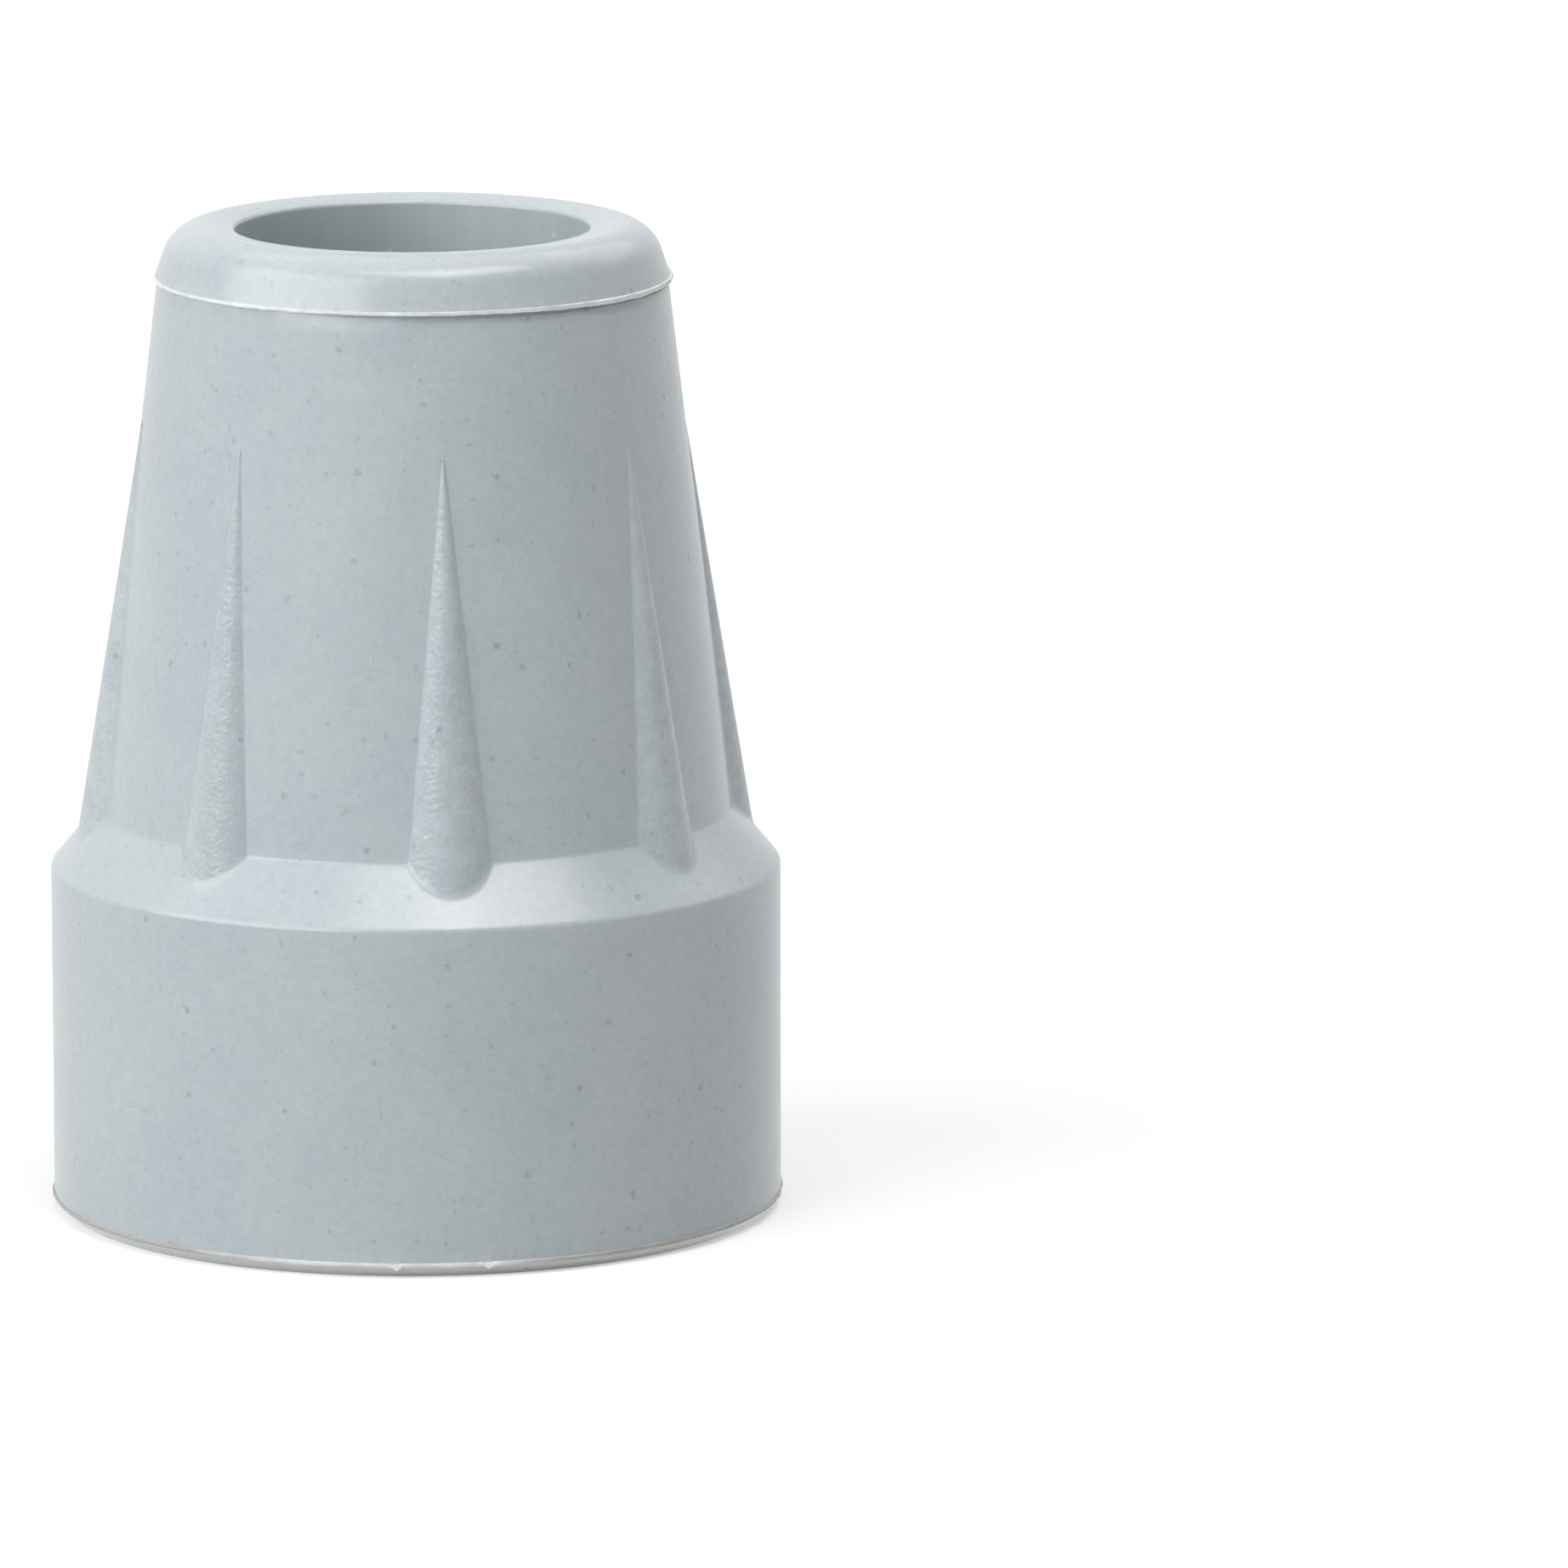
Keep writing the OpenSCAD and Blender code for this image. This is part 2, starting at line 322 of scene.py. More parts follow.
def section_chain(bm, corners):
    """Draws the half section in the XZ plane, with its corners rounded, as one chain of edges."""
    arc_step, fewest, most, on_axis = 0.24, 4, 12, 1e-6
    verts = [bm.verts.new((c.r, 0, c.z)) for c in corners]
    bm.faces.new(verts)
    for i, (vert, corner) in enumerate(zip(verts, corners)):
        if corner.edge_r:
            after = corners[(i + 1) % len(corners)]
            reach, turn = corner_reach(corners[i - 1], corner, after, corner.edge_r)
            segments = min(max(round(turn * corner.edge_r / arc_step), fewest), most)
            bmesh.ops.bevel(bm, geom=[vert], offset=reach, offset_type="OFFSET",
                            segments=segments, profile=0.5, affect="VERTICES", material=-1)
    bmesh.ops.delete(bm, geom=bm.faces[:], context="FACES_ONLY")
    axis_edges = [e for e in bm.edges if all(v.co.x < on_axis for v in e.verts)]
    bmesh.ops.delete(bm, geom=axis_edges, context="EDGES")
    for start, end in zip(corners, corners[1:]):
        line = Vector((end.r - start.r, 0, end.z - start.z))
        origin = Vector((start.r, 0, start.z))
        along = line.normalized()
        for edge in [e for e in bm.edges if e.calc_length() > start.step]:
            offsets = [v.co - origin for v in edge.verts]
            on_line = all(
                (o - along * o.dot(along)).length < LINE_TOLERANCE
                and -LINE_TOLERANCE < o.dot(along) < line.length + LINE_TOLERANCE
                for o in offsets)
            if on_line:
                cuts = math.ceil(edge.calc_length() / start.step) - 1
                bmesh.ops.subdivide_edges(bm, edges=[edge], cuts=cuts)
    return bm.verts[:] + bm.edges[:]


def rib_surface(tip, ribs):
    """A function that gives a rib's radius from the tip's axis, at a turn from the rib's middle
    and a height, or None where the rib isn't."""
    shoulder_top = tip.base_h + tip.shoulder_h
    half_run = ribs.width / 2 / ribs.height
    proud_run = (ribs.proud - ribs.point_proud) / ribs.height
    radius_run = (half_run ** 2 + proud_run ** 2) / (2 * proud_run)
    neck_run = (tip.neck_foot_r - tip.neck_top_r) / tip.neck_h
    lean = math.atan(neck_run - radius_run + proud_run)
    point_r = tip.neck_foot_r - neck_run * ribs.height + ribs.point_proud
    point_z = shoulder_top + ribs.height
    spread = 1 + radius_run ** 2

    def radius_at(turn, z):
        drop = z - point_z
        if drop >= 0:
            return None
        # The cone's points satisfy |p|^2 = spread * (p . axis)^2, measured from its own point
        across = math.sin(lean) * math.cos(turn)
        sunk = math.sin(lean) * point_r + math.cos(lean) * drop
        a = 1 - spread * across ** 2
        b = spread * across * sunk - point_r * math.cos(turn)
        c = point_r ** 2 + drop ** 2 - spread * sunk ** 2
        inside = b * b - a * c
        return (math.sqrt(inside) - b) / a if inside > 0 else None

    return radius_at


def ease(value, low, high):
    """Rises smoothly from 0 at low to 1 at high."""
    share = min(max((value - low) / (high - low), 0), 1)
    return share * share * (3 - 2 * share)


def rib_column_turn(column, half_angle, fillet_angle, pitch):
    """Turn from a rib's middle of a column of vertices that keeps to the rib's side."""
    marks = (0, RIB_COLUMNS, RIB_COLUMNS + FILLET_COLUMNS, COLUMNS_PER_RIB / 2)
    turns = (0, half_angle - fillet_angle, half_angle + fillet_angle, pitch / 2)
    for mark, next_mark, turn, next_turn in zip(marks, marks[1:], turns, turns[1:]):
        if column <= next_mark:
            return turn + (next_turn - turn) * (column - mark) / (next_mark - mark)
    return pitch / 2


def raise_ribs(bm, tip, ribs):
    """Gathers the neck's columns along each rib's sides, then lifts the ribs out of the neck and
    the shoulder with a soft corner, and marks them for the coarser grain."""
    grain = bm.verts.layers.float.new("rib_grain")
    radius_at = rib_surface(tip, ribs)
    shoulder_top = tip.base_h + tip.shoulder_h
    point_z = shoulder_top + ribs.height
    pitch = 2 * math.pi / ribs.count
    gather_foot, gather_top, narrowest, fillet_w = 5, 6, 0.25, 0.24
    bore_margin, foot_above, foot_below, most_blend = 1, 0.6, 0.4, 0.3
    for vert in bm.verts:
        x, y, z = vert.co
        r = math.hypot(x, y)
        if (r < tip.bore_r + bore_margin or z < tip.base_h - gather_foot
                or z > point_z + gather_top):
            continue
        azimuth = math.atan2(y, x)
        sector = math.floor(azimuth / pitch) + 0.5
        turn = azimuth - sector * pitch
        side = math.copysign(1, turn)
        width = ribs.width / 2 * min((point_z - z) / ribs.height, 1)
        width = max(width, narrowest)
        share = min(width / (ribs.width / 4), 1)
        gathered = rib_column_turn(abs(turn) / pitch * COLUMNS_PER_RIB, width / r,
                                   fillet_w * share / r, pitch)
        weight = ease(z, tip.base_h - gather_foot, tip.base_h) * (
            1 - ease(z, point_z, point_z + gather_top))
        turn += weight * (side * gathered - turn)
        rib_r = radius_at(turn, z)
        if rib_r is not None:
            depth = max((point_z - z) / ribs.height * ribs.proud, 0)
            foot = ease(z, shoulder_top + foot_above, shoulder_top - foot_below)
            blend = min(ribs.side_blend + foot * (ribs.foot_blend - ribs.side_blend),
                        most_blend * depth) + 1e-6
            near = max(blend - abs(rib_r - r), 0)
            vert[grain] = min(max((rib_r - r) / blend + 0.5, 0), 1)
            r = max(rib_r, r) + near * near / (4 * blend)
        vert.co = (r * math.cos(sector * pitch + turn), r * math.sin(sector * pitch + turn), z)


def layered_noise(point, *layers):
    """Noise in layers, each with its scale, its weight and its shift along Z."""
    return sum(weight * noise.noise(point * scale + Vector((0, 0, shift)))
               for scale, weight, shift in layers)


def overhang(x, y, flash):
    """Share of the mould's slip: 1 on the side where the collar overhangs, 0 on the far side."""
    return max(math.cos(math.atan2(y, x) - flash.slip_turn), 0)


def slip_collar(bm, parting, wall_r, flash):
    """Hollows the neck under the flash on the side where the collar overhangs it."""
    root_z = parting - flash.thickness / 2
    for vert in bm.verts:
        x, y, z = vert.co
        r = math.hypot(x, y)
        if abs(z - root_z) < LINE_TOLERANCE and abs(r - wall_r) < RADIUS_TOLERANCE:
            uneven = 1 + layered_noise(Vector((x, y, HOLLOW_SEED)), (1.7, 0.5, 0))
            hollow = flash.slip * overhang(x, y, flash) * uneven
            vert.co = Vector((x, y, 0)) * (1 - hollow / r) + Vector((0, 0, z))


def tear_flash(bm, line_z, wall_r, proud, flash, seed, lip=0, tags=()):
    """Tears a fin of flash back unevenly along its edge, thickens it by the lip where the mould
    slipped, and lets its loose tags droop. A tag has a turn from +X in degrees, a width along the
    line and a drop."""
    usual_loss, tag_tuck = 0.3, 0.15
    for vert in bm.verts:
        x, y, z = vert.co
        r = math.hypot(x, y)
        if (abs(z - line_z) > flash.thickness / 2 + LINE_TOLERANCE
                or r < wall_r + proud / 2):
            continue
        along = Vector((x, y, seed)) / flash.tear_length
        loss = usual_loss + layered_noise(along, (0.35, 0.5, 0), (1.2, 0.6, 0), (3.1, 0.48, 0))
        r -= proud * flash.torn * min(max(loss, 0), 1)
        if z < line_z:
            z -= lip * overhang(x, y, flash) ** 2
        z += flash.rise + flash.waver * layered_noise(
            along, (0.5, 1, 7), (1.6, 0.6, z), (2.6, 0.6, 4 * z))
        for tag_turn, tag_w, tag_drop in tags:
            aside = math.atan2(y, x) - math.radians(tag_turn)
            near = 1 - abs(math.remainder(aside, 2 * math.pi)) * r / (tag_w / 2)
            if near > 0:
                z -= tag_drop * near
                r += (wall_r + proud - r - tag_tuck * tag_drop) * near
        vert.co = Vector((x, y, 0)).normalized() * r + Vector((0, 0, z))


def settle_order(bm):
    """Sorts the edges and faces by their vertices, because a spin's order changes between runs."""
    bm.verts.index_update()
    count = len(bm.verts)

    def rank(element):
        lowest = sorted(vert.index for vert in element.verts)[:3]
        return sum(index * count ** power for power, index in enumerate(reversed(lowest)))

    bm.edges.sort(key=rank)
    bm.faces.sort(key=rank)


def build_tip(sizes, tread_sizes, rib_sizes, flash_sizes):
    """The whole tip as one closed mesh."""
    tip, tread = in_mm(sizes), in_mm(tread_sizes)
    ribs, flash = in_mm(rib_sizes), in_mm(flash_sizes)
    bm = bmesh.new()
    chain = section_chain(bm, section_corners(tip, tread, ribs, flash))
    bmesh.ops.spin(bm, geom=chain, cent=(0, 0, 0), axis=(0, 0, 1), dvec=(0, 0, 0),
                   angle=2 * math.pi, steps=COLUMNS_PER_RIB * ribs.count, use_merge=True,
                   use_normal_flip=False, use_duplicate=False)
    bmesh.ops.remove_doubles(bm, verts=bm.verts[:], dist=1e-5)
    bmesh.ops.recalc_face_normals(bm, faces=bm.faces[:])
    settle_order(bm)
    parting = tip.base_h + tip.shoulder_h + tip.neck_h
    raise_ribs(bm, tip, ribs)
    fins = ((parting, tip.neck_top_r), (tip.foot_bevel_h, tip.base_r))
    for face in bm.faces:
        centre = face.calc_center_median()
        r = math.hypot(centre.x, centre.y)
        on_flash = any(abs(centre.z - line_z) < flash.thickness / 2 and r > wall_r
                       for line_z, wall_r in fins)
        in_bore = r < tip.bore_r + RADIUS_TOLERANCE and centre.z > tip.base_h / 2
        face.smooth = True
        face.material_index = FLASH_SLOT if on_flash else BORE_SLOT if in_bore else RUBBER_SLOT
    slip_collar(bm, parting, tip.neck_top_r, flash)
    tear_flash(bm, parting, tip.collar_r, flash.collar_proud, flash, COLLAR_SEED,
               lip=flash.slip_lip)
    tear_flash(bm, tip.foot_bevel_h, tip.base_r, flash.foot_proud, flash, FOOT_SEED,
               tags=FOOT_TAGS)
    bmesh.ops.scale(bm, vec=(MM, MM, MM), verts=bm.verts[:])
    mesh = bpy.data.meshes.new("moulded_tip")
    bm.to_mesh(mesh)
    bm.free()
    mesh.set_sharp_from_angle(angle=SHARP_ANGLE)
    return mesh


def feed(tree, socket, value):
    """Gives an input a value, or another node's output to read."""
    if isinstance(value, bpy.types.NodeSocket):
        tree.links.new(value, socket)
    else:
        socket.default_value = value


def node(tree, kind, inputs=None, **settings):
    """Adds a shader node, with its settings and what its inputs are fed."""
    made = tree.nodes.new(kind)
    for key, value in settings.items():
        setattr(made, key, value)
    for key, value in (inputs or {}).items():
        feed(tree, made.inputs[key], value)
    return made


def math_node(tree, operation, a, b, c=0.0):
    """A Math node's output. Only operations with three inputs use the last one."""
    return node(tree, "ShaderNodeMath", {0: a, 1: b, 2: c}, operation=operation).outputs[0]


def vector_math(tree, operation, *inputs):
    """A Vector Math node's outputs."""
    return node(tree, "ShaderNodeVectorMath", dict(enumerate(inputs)),
                operation=operation).outputs


def mix_value(tree, share, a, b):
    """A number Mix node's output."""
    return node(tree, "ShaderNodeMix", {0: share, 2: a, 3: b}).outputs[0]


def mix_colour(tree, share, a, b, blend="MIX"):
    """A colour Mix node's output."""
    mixed = node(tree, "ShaderNodeMix", data_type="RGBA", blend_type=blend)
    for identifier, value in (("Factor_Float", share), ("A_Color", a), ("B_Color", b)):
        feed(tree, next(s for s in mixed.inputs if s.identifier == identifier), value)
    return next(s for s in mixed.outputs if s.identifier == "Result_Color")


def ramp(tree, value, low, high, at_low=0.0, at_high=1.0):
    """Value brought from low..high to at_low..at_high, with a soft start and end."""
    return node(tree, "ShaderNodeMapRange", {0: value, 1: low, 2: high, 3: at_low, 4: at_high},
                interpolation_type="SMOOTHSTEP").outputs[0]


def noise_texture(tree, where, scale, detail=2.0, roughness=0.5):
    """A Noise texture's outputs."""
    return node(tree, "ShaderNodeTexNoise", {
        "Vector": where, "Scale": scale, "Detail": detail, "Roughness": roughness}).outputs


def mapping(tree, where, **inputs):
    """Coordinates through a Mapping node."""
    return node(tree, "ShaderNodeMapping", {"Vector": where, **inputs}).outputs[0]


def near_floor(tree, where, top_z, full_z):
    """Mask of what is near the floor, from 0 at the top height to 1 at the full one and below."""
    return ramp(tree, node(tree, "ShaderNodeSeparateXYZ", {0: where}).outputs["Z"],
                top_z, full_z)


def new_group(name, inputs, outputs):
    """A shader node group with named sockets, and its input and output nodes."""
    group = bpy.data.node_groups.new(name, "ShaderNodeTree")
    for socket_name, kind, default in inputs:
        socket = group.interface.new_socket(socket_name, in_out="INPUT", socket_type=kind)
        if default is not None:
            socket.default_value = default
    for socket_name, kind in outputs:
        group.interface.new_socket(socket_name, in_out="OUTPUT", socket_type=kind)
    return group, group.nodes.new("NodeGroupInput").outputs, group.nodes.new("NodeGroupOutput")


def grain_and_pit_shade_group():
    """Moulded grain: an uneven tone and a stippled height for bump, both from 0 to 1."""
    group, given, result = new_group(
        "moulded_grain_and_pit_shade",
        [("Vector", "NodeSocketVector", None), ("Size", "NodeSocketFloat", 0.0001)],
        [("Mottle and pit shade", "NodeSocketFloat"), ("Height", "NodeSocketFloat")])
    scale = math_node(group, "DIVIDE", 1.0, given["Size"])
    stipple = noise_texture(group, given["Vector"], scale, 1.0, 0.4)["Fac"]
    swell = noise_texture(group, given["Vector"], math_node(group, "DIVIDE", scale, 4.0),
                          2.0, 0.55)["Fac"]
    # The tone shares the stipple with the height, so the bump's pits come out darker: painted
    # shade
    tone = math_node(group, "MULTIPLY_ADD", swell, 2.0, stipple)
    feed(group, result.inputs["Mottle and pit shade"], ramp(group, tone, 1.0, 2.0))
    feed(group, result.inputs["Height"], ramp(group, stipple, 0.2, 0.8))
    return group


def speck_group():
    """Scattered ragged specks of mixed size, as a mask from 0 to 1."""
    group, given, result = new_group(
        "scattered_specks",
        [("Vector", "NodeSocketVector", None), ("Spacing", "NodeSocketFloat", 0.001),
         ("Size", "NodeSocketFloat", 0.0001)],
        [("Mask", "NodeSocketFloat")])
    size, spacing = given["Size"], given["Spacing"]
    raggedness, least_size, least_weight = 1.4, 0.25, 0.4
    ragged = noise_texture(group, given["Vector"], math_node(group, "DIVIDE", 0.9, size),
                           1.0)["Color"]
    off_centre = vector_math(group, "SUBTRACT", ragged, (0.5, 0.5, 0.5))[0]
    shift = node(group, "ShaderNodeVectorMath", {
        0: off_centre, "Scale": math_node(group, "MULTIPLY", size, raggedness)},
        operation="SCALE").outputs[0]
    cells = node(group, "ShaderNodeTexVoronoi", {
        "Vector": vector_math(group, "ADD", given["Vector"], shift)[0],
        "Scale": math_node(group, "DIVIDE", 1.0, spacing)}).outputs
    pick = node(group, "ShaderNodeSeparateColor", {"Color": cells["Color"]}).outputs
    distance = math_node(group, "MULTIPLY", cells["Distance"], spacing)
    radius = math_node(group, "MULTIPLY", size, math_node(
        group, "MULTIPLY_ADD", pick["Red"], 1 - least_size, least_size))
    depth = math_node(group, "DIVIDE", math_node(group, "SUBTRACT", radius, distance), size)
    weight = math_node(group, "MULTIPLY_ADD", pick["Green"], 1 - least_weight, least_weight)
    feed(group, result.inputs["Mask"],
         math_node(group, "MULTIPLY", ramp(group, depth, 0.0, 0.7), weight))
    return group


def scuff_group():
    """Faint level scuffs in patches, as a mask from 0 to 1."""
    group, given, result = new_group(
        "level_scuffs", [("Vector", "NodeSocketVector", None)], [("Mask", "NodeSocketFloat")])
    level = mapping(group, given["Vector"], Scale=(1.0, 1.0, 7.0))
    lines = noise_texture(group, level, 330.0, 3.0, 0.6)["Fac"]
    patches = noise_texture(group, given["Vector"], 95.0, 1.0)["Fac"]
    feed(group, result.inputs["Mask"], math_node(
        group, "MULTIPLY", ramp(group, lines, 0.52, 0.75), ramp(group, patches, 0.5, 0.72)))
    return group


def place(tree, group, **inputs):
    """Places a node group in a material, and gives its outputs."""
    return node(tree, "ShaderNodeGroup", inputs, node_tree=group).outputs


def new_material(name):
    """An empty node material with its Principled shader and object coordinates."""
    material = bpy.data.materials.new(name)
    material.use_nodes = True
    tree = material.node_tree
    where = node(tree, "ShaderNodeTexCoord").outputs["Object"]
    return material, tree, tree.nodes["Principled BSDF"], where


def scaled(rgb, share):
    """A colour made lighter or darker, with full alpha."""
    return (*(min(c * share, 1.0) for c in rgb), 1.0)


def stain(tree, tone, rgb, mask, strength=1.0):
    """The tone with a colour over it where the mask is, at a strength from 0 to 1."""
    return mix_colour(tree, math_node(tree, "MULTIPLY", mask, strength), tone, scaled(rgb, 1))


def speckle(tree, groups, tone, rgb, where, specks):
    """The tone with specks of one kind and colour scattered over it."""
    mask = place(tree, groups.specks, Vector=where, Spacing=specks.spacing,
                 Size=specks.size)["Mask"]
    return stain(tree, tone, rgb, mask, specks.strength)


def dress(tree, shader, tone, height, bump_distance, roughness):
    """Gives a shader its colour, bump and roughness. The bump's distance is in metres."""
    bump = node(tree, "ShaderNodeBump", {
        "Height": height, "Strength": 1.0, "Distance": bump_distance}).outputs[0]
    feed(tree, shader.inputs["Base Color"], tone)
    feed(tree, shader.inputs["Normal"], bump)
    shader.inputs["Roughness"].default_value = roughness


def rubber_material(finish, groups):
    """Moulded rubber: uneven tone, specks, dust, scuffs, and a coarser grain on the ribs."""
    material, tree, shader, where = new_material("moulded_rubber")
    fine_depth, rib_depth, fine_bump, rib_bump = 0.036, 0.06, 0.2, 2.9
    rib = node(tree, "ShaderNodeAttribute", attribute_name="rib_grain").outputs["Fac"]
    fine = place(tree, groups.grain, Vector=where, Size=finish.grain_size)
    coarse = place(tree, groups.grain, Vector=where, Size=finish.rib_grain_size)
    drift = noise_texture(tree, where, 110.0, 5.0, 0.65)["Fac"]
    tone = mix_colour(tree, ramp(tree, drift, 0.3, 0.7), scaled(finish.rubber_cool, 1),
                      scaled(finish.rubber, 1))
    # A mix of black and double white at 0.5 keeps the tone. The grain swings round that, darker in
    # the bump's pits as painted shade.
    swing = math_node(tree, "SUBTRACT", mix_value(tree, rib, fine["Mottle and pit shade"], coarse["Mottle and pit shade"]), 0.5)
    depth = mix_value(tree, rib, fine_depth, rib_depth)
    mottle_and_pit_shade = mix_colour(tree, math_node(tree, "MULTIPLY_ADD", swing, depth, 0.5),
                        (0, 0, 0, 1), (2, 2, 2, 1))
    tone = mix_colour(tree, 1.0, tone, mottle_and_pit_shade, "MULTIPLY")
    scuffs = place(tree, groups.scuffs, Vector=where)["Mask"]
    tone = stain(tree, tone, finish.dust, scuffs, 0.09)
    # Painted light: the bevel turns paler near the floor, standing in for the floor's bounce light
    painted_floor_light = near_floor(tree, where, finish.foot_bounce_light_h, finish.foot_bounce_light_h * 0.75)
    tone = stain(tree, tone, finish.foot_bounce_light, painted_floor_light, 0.45)
    aside = mapping(tree, where, Location=ASIDE)
    tone = speckle(tree, groups, tone, finish.speck, where, BOLD_SPECKS)
    tone = speckle(tree, groups, tone, finish.speck, aside, FINE_SPECKS)
    tone = speckle(tree, groups, tone, finish.dust, aside, DUST_SPECKS)
    height = mix_value(tree, rib, math_node(tree, "MULTIPLY", fine["Height"], fine_bump),
                       math_node(tree, "MULTIPLY", coarse["Height"], rib_bump))
    dress(tree, shader, tone, height, 6e-6, 0.25)
    shader.inputs["IOR"].default_value = 1.55
    return material


def flash_material(finish, groups):
    """Thin torn flash: paler than the body, uneven, and dirty at the foot but for one stretch."""
    material, tree, shader, where = new_material("torn_flash")
    grain = place(tree, groups.grain, Vector=where, Size=finish.rib_grain_size)
    # The grain's tone is darker in its bump's pits, as painted shade
    tone = mix_colour(tree, grain["Mottle and pit shade"], scaled(finish.flash, 0.9), scaled(finish.flash, 1.05))
    outward = vector_math(tree, "NORMALIZE", where)[0]
    clean_way = (math.cos(finish.clean_turn), math.sin(finish.clean_turn), 0)
    facing = vector_math(tree, "DOT_PRODUCT", outward, clean_way)["Value"]
    patches = noise_texture(tree, where, 350.0)["Fac"]
    facing = math_node(tree, "MULTIPLY_ADD", patches, 0.12, facing)
    at_foot = near_floor(tree, where, GRIME_TOP, GRIME_TOP / 2)
    tone = stain(tree, tone, finish.flash_grime, at_foot, ramp(tree, facing, 1.05, 0.91))
    dress(tree, shader, tone, grain["Height"], 8e-6, 0.55)
    return material


def bore_material(finish, groups):
    """Bore wall: polished by the core pin, with drag marks along it, a little dust and specks."""
    material, tree, shader, where = new_material("bore_rubber")
    grain = place(tree, groups.grain, Vector=where, Size=finish.grain_size)
    drawn = mapping(tree, where, Scale=(1.0, 1.0, 0.07))
    bands = noise_texture(tree, drawn, 420.0, 4.0, 0.6)["Fac"]
    tone = mix_colour(tree, ramp(tree, bands, 0.3, 0.7), scaled(finish.bore, 0.94),
                      scaled(finish.bore, 1.04))
    tone = speckle(tree, groups, tone, finish.dust, where, BORE_DUST)
    tone = speckle(tree, groups, tone, finish.speck, mapping(tree, where, Location=ASIDE),
                   BORE_SPECKS)
    height = math_node(tree, "MULTIPLY_ADD", grain["Height"], 0.2, bands)
    dress(tree, shader, tone, height, 1e-5, 0.42)
    return material


class OBJECT_OT_cane_tip_body(bpy.types.Operator):
    """Build the moulded tip with its ribs, tread, flash and finish"""
    bl_idname = "object.cane_tip_body"
    bl_label = "Build Tip"

    def execute(self, context):
        scene = context.scene
        mesh = build_tip(scene.tip_sizes, scene.tread_sizes, scene.rib_sizes,
                         scene.flash_sizes)
        if not mesh.polygons:
            raise RuntimeError("the tip's mesh has no faces")
        groups = SimpleNamespace(grain=grain_and_pit_shade_group(), specks=speck_group(),
                                 scuffs=scuff_group())
        for make in (rubber_material, flash_material, bore_material):
            mesh.materials.append(make(scene.tip_finish, groups))
        piece = bpy.data.objects.new("moulded_tip", mesh)
        scene.collection.objects.link(piece)
        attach(piece, "root")
        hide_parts("rubber_tip")
        return {"FINISHED"}


Lamp = namedtuple("Lamp", "name azimuth elevation distance width height power tint")
Lamp.__doc__ = """A soft box that faces the tip: its place as seen from the tip, azimuth from the
camera's side to the right and elevation in degrees, its sizes in metres, watts and colour."""

PLAIN, SOFT_WARM, WARM = (1.0, 1.0, 1.0), (1.0, 0.985, 0.965), (1.0, 0.965, 0.925)
TOP_WARM = (1.0, 0.945, 0.945)
LAMPS = (
    Lamp("key_softbox", -59, 32, 1.0, 1.2, 0.7, 8.2, SOFT_WARM),
    Lamp("edge_softbox", 48, 66, 1.0, 0.7, 0.3, 2.9, WARM),
    Lamp("front_strip_box", -2, 68, 1.0, 0.5, 0.2, 1.25, WARM),
    Lamp("top_softbox", 180, 80, 1.0, 1.2, 1.2, 4.4, TOP_WARM),
    Lamp("back_softbox", 135, 38, 1.0, 0.7, 0.5, 0.95, PLAIN),
)

# Half the side of the square floor, in metres, and its grey
FLOOR_REACH = 6.0
FLOOR_GREY = 0.68


def add_lamps(studio, scene):
    """Soft boxes round the tip."""
    target = (CAD_LOW + CAD_HIGH) / 2
    for lamp in LAMPS:
        light = bpy.data.lights.new(lamp.name, "AREA")
        light.shape = "RECTANGLE"
        light.size, light.size_y = lamp.width, lamp.height
        light.energy = lamp.power
        light.color = lamp.tint
        holder = bpy.data.objects.new(lamp.name, light)
        scene.collection.objects.link(holder)
        azimuth = studio.camera_azimuth + math.radians(lamp.azimuth)
        elevation = math.radians(lamp.elevation)
        toward = Vector((math.sin(azimuth) * math.cos(elevation),
                         -math.cos(azimuth) * math.cos(elevation), math.sin(elevation)))
        holder.location = target + toward * lamp.distance
        holder.rotation_euler = toward.to_track_quat("Z", "Y").to_euler()


def add_camera(studio, scene):
    """The camera, at its place round the tip."""
    lens = bpy.data.cameras.new("studio_camera")
    lens.lens = studio.camera_lens
    lens.clip_start, lens.clip_end = 0.05, 20.0
    camera = bpy.data.objects.new("studio_camera", lens)
    scene.collection.objects.link(camera)
    scene.camera = camera
    turn = Matrix.Rotation(studio.camera_azimuth, 4, "Z")
    place_at = Matrix.Translation((0, -studio.camera_distance, studio.camera_height))
    aim = (Matrix.Rotation(-studio.camera_yaw, 4, "Z")
           @ Matrix.Rotation(math.pi / 2 - studio.camera_pitch, 4, "X")
           @ Matrix.Rotation(studio.camera_roll, 4, "Z"))
    camera.matrix_world = turn @ place_at @ aim


def plain_white_rays(tree):
    """Mask of the rays that see the surroundings as plain white: straight ones and reflections."""
    path = node(tree, "ShaderNodeLightPath").outputs
    return path["Is Camera Ray"], math_node(
        tree, "MAXIMUM", path["Is Glossy Ray"], path["Is Transmission Ray"])


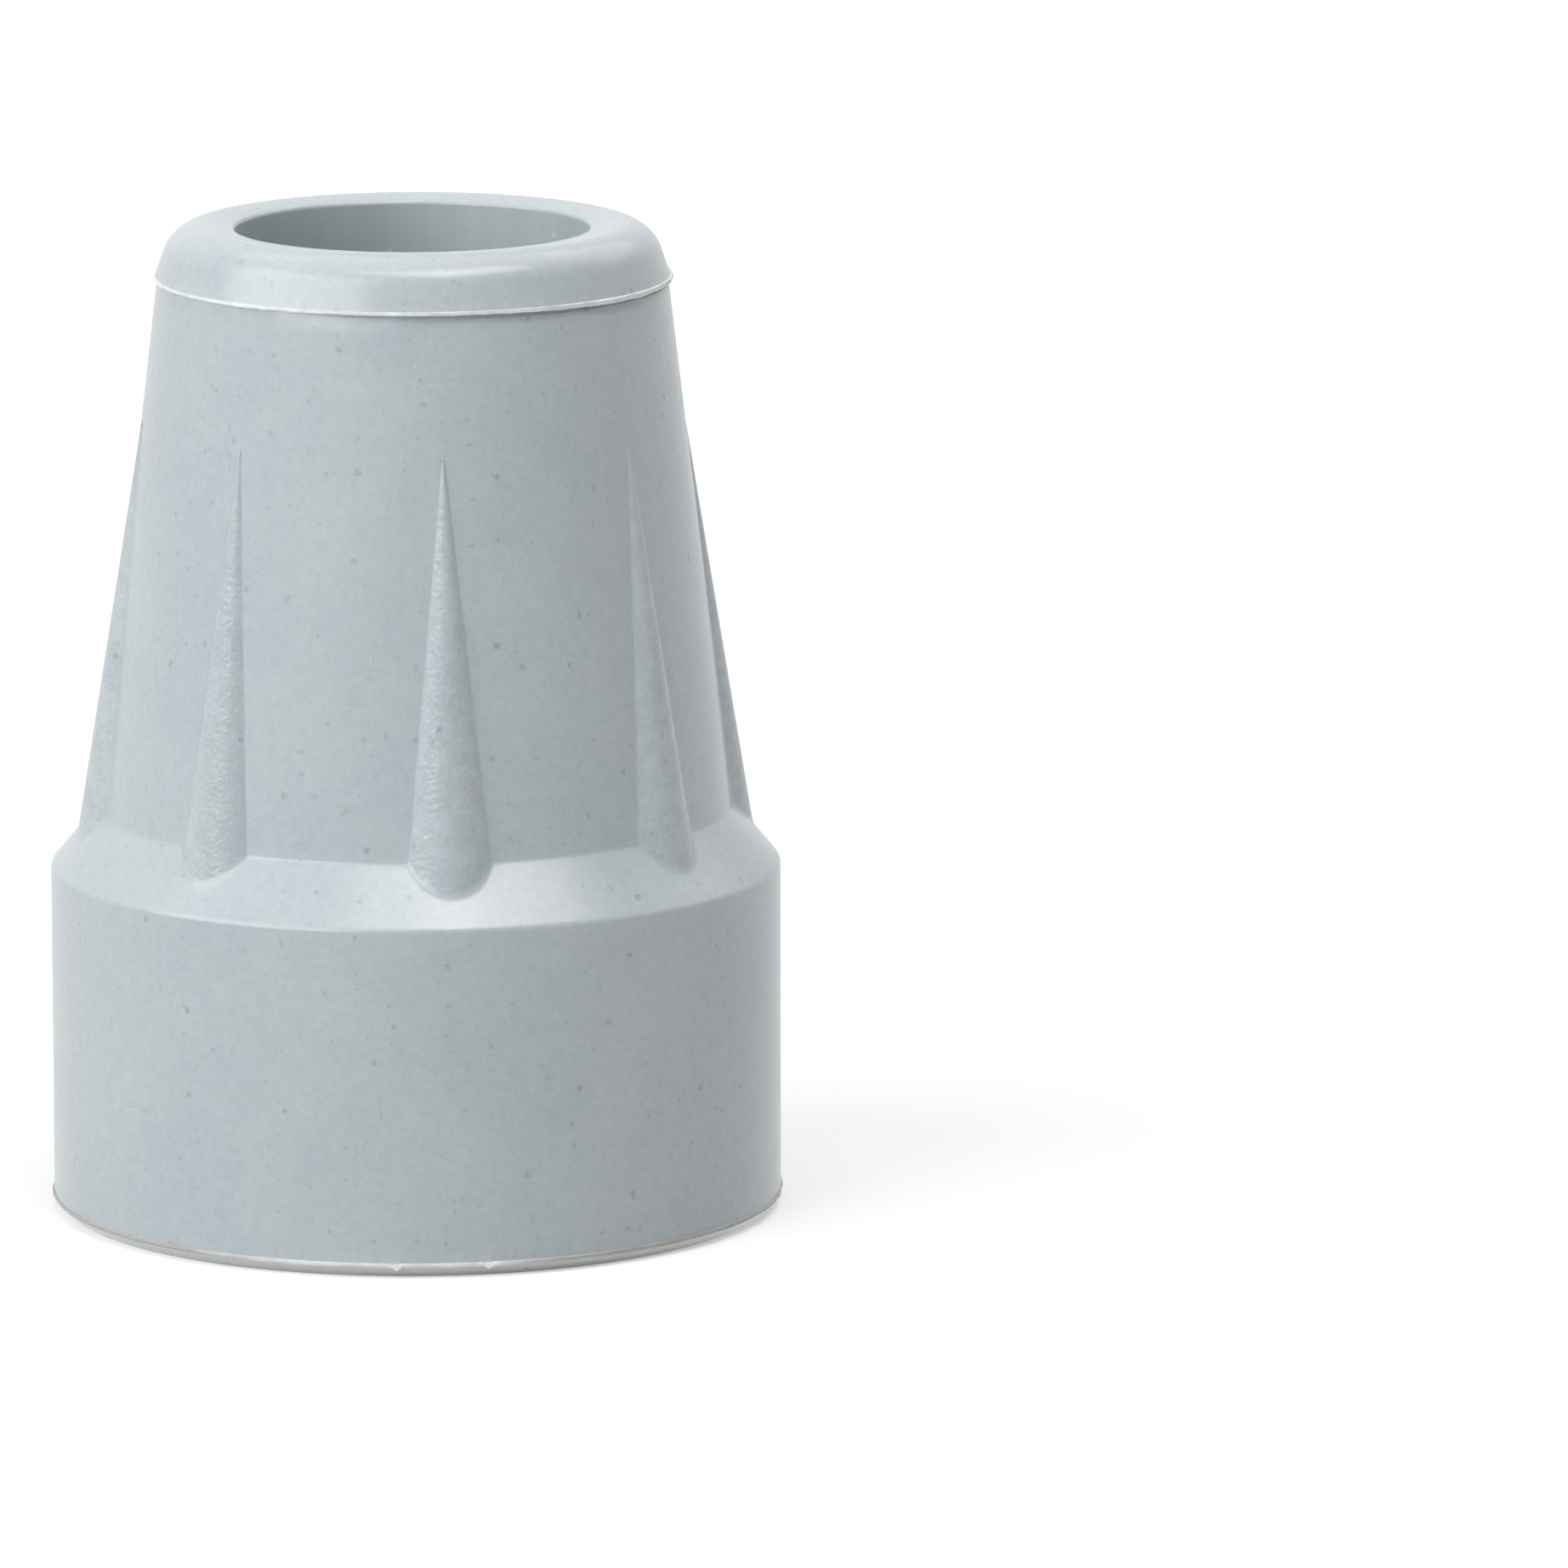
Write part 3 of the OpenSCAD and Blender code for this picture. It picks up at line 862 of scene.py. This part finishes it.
def floor_material(studio):
    """White floor that keeps the tip's shadow. From below it can be seen through."""
    material, tree, shader, where = new_material("studio_floor")
    output = tree.nodes["Material Output"]
    shader.inputs["Base Color"].default_value = (FLOOR_GREY, FLOOR_GREY, FLOOR_GREY, 1.0)
    shader.inputs["Roughness"].default_value = 0.9
    shader.inputs["Specular IOR Level"].default_value = 0.0
    straight, reflected = plain_white_rays(tree)
    off = vector_math(tree, "LENGTH", where)["Value"]
    white_lift = ramp(tree, off, 0.0, studio.far_off, studio.floor_lift, studio.far_lift)
    lift = node(tree, "ShaderNodeEmission", {
        "Strength": math_node(tree, "MULTIPLY", straight, white_lift)}).outputs[0]
    lit = node(tree, "ShaderNodeAddShader", {0: shader.outputs[0], 1: lift}).outputs[0]
    white = node(tree, "ShaderNodeEmission").outputs[0]
    shown = node(tree, "ShaderNodeMixShader", {0: reflected, 1: lit, 2: white}).outputs[0]
    behind = node(tree, "ShaderNodeNewGeometry").outputs["Backfacing"]
    clear = node(tree, "ShaderNodeBsdfTransparent").outputs[0]
    seen = node(tree, "ShaderNodeMixShader", {0: behind, 1: shown, 2: clear})
    tree.links.new(seen.outputs[0], output.inputs["Surface"])
    return material


def add_floor(studio, scene):
    """A wide flat floor."""
    bm = bmesh.new()
    bmesh.ops.create_grid(bm, x_segments=1, y_segments=1, size=FLOOR_REACH)
    mesh = bpy.data.meshes.new("studio_floor")
    bm.to_mesh(mesh)
    bm.free()
    mesh.materials.append(floor_material(studio))
    floor = bpy.data.objects.new("studio_floor", mesh)
    scene.collection.objects.link(floor)


def add_sky(studio, scene):
    """Even white light all round, which the camera sees as plain white."""
    world = bpy.data.worlds.new("studio_sky")
    world.use_nodes = True
    scene.world = world
    tree = world.node_tree
    background = tree.nodes["Background"]
    background.inputs["Color"].default_value = (1.0, 1.0, 1.0, 1.0)
    plain_white = math_node(tree, "MAXIMUM", *plain_white_rays(tree))
    feed(tree, background.inputs["Strength"], mix_value(tree, plain_white, studio.sky, 1.0))


class SCENE_OT_cane_tip_studio(bpy.types.Operator):
    """Set up the floor, the light and the camera"""
    bl_idname = "scene.cane_tip_studio"
    bl_label = "Set Up Studio"

    def execute(self, context):
        scene = context.scene
        studio = scene.studio_setup
        add_floor(studio, scene)
        add_sky(studio, scene)
        add_lamps(studio, scene)
        add_camera(studio, scene)
        scene.view_settings.view_transform = "Standard"
        return {"FINISHED"}


class VIEW3D_PT_cane_tip(bpy.types.Panel):
    """Sidebar panel with the tip's operators and properties"""
    bl_idname = "VIEW3D_PT_cane_tip"
    bl_label = "Rubber Cane Tip"
    bl_space_type = "VIEW_3D"
    bl_region_type = "UI"
    bl_category = "Cane Tip"

    def draw(self, context):
        layout = self.layout
        layout.operator(OBJECT_OT_cane_tip_body.bl_idname)
        layout.operator(SCENE_OT_cane_tip_studio.bl_idname)
        for name, group in SETTINGS.items():
            box = layout.box()
            box.label(text=group.__doc__)
            for prop in group.__annotations__:
                box.prop(getattr(context.scene, name), prop)


SETTINGS = {
    "tip_sizes": TipSizes,
    "tread_sizes": TreadSizes,
    "rib_sizes": RibSizes,
    "flash_sizes": FlashSizes,
    "tip_finish": TipFinish,
    "studio_setup": StudioSetup,
}
CLASSES = (*SETTINGS.values(), OBJECT_OT_cane_tip_body, SCENE_OT_cane_tip_studio,
           VIEW3D_PT_cane_tip)


def register():
    for cls in CLASSES:
        bpy.utils.register_class(cls)
    for name, group in SETTINGS.items():
        setattr(bpy.types.Scene, name, PointerProperty(type=group))


def unregister():
    for name in SETTINGS:
        delattr(bpy.types.Scene, name)
    for cls in reversed(CLASSES):
        bpy.utils.unregister_class(cls)


def main():
    register()
    bpy.ops.object.cane_tip_body()
    bpy.ops.scene.cane_tip_studio()


if __name__ == "__main__":
    main()
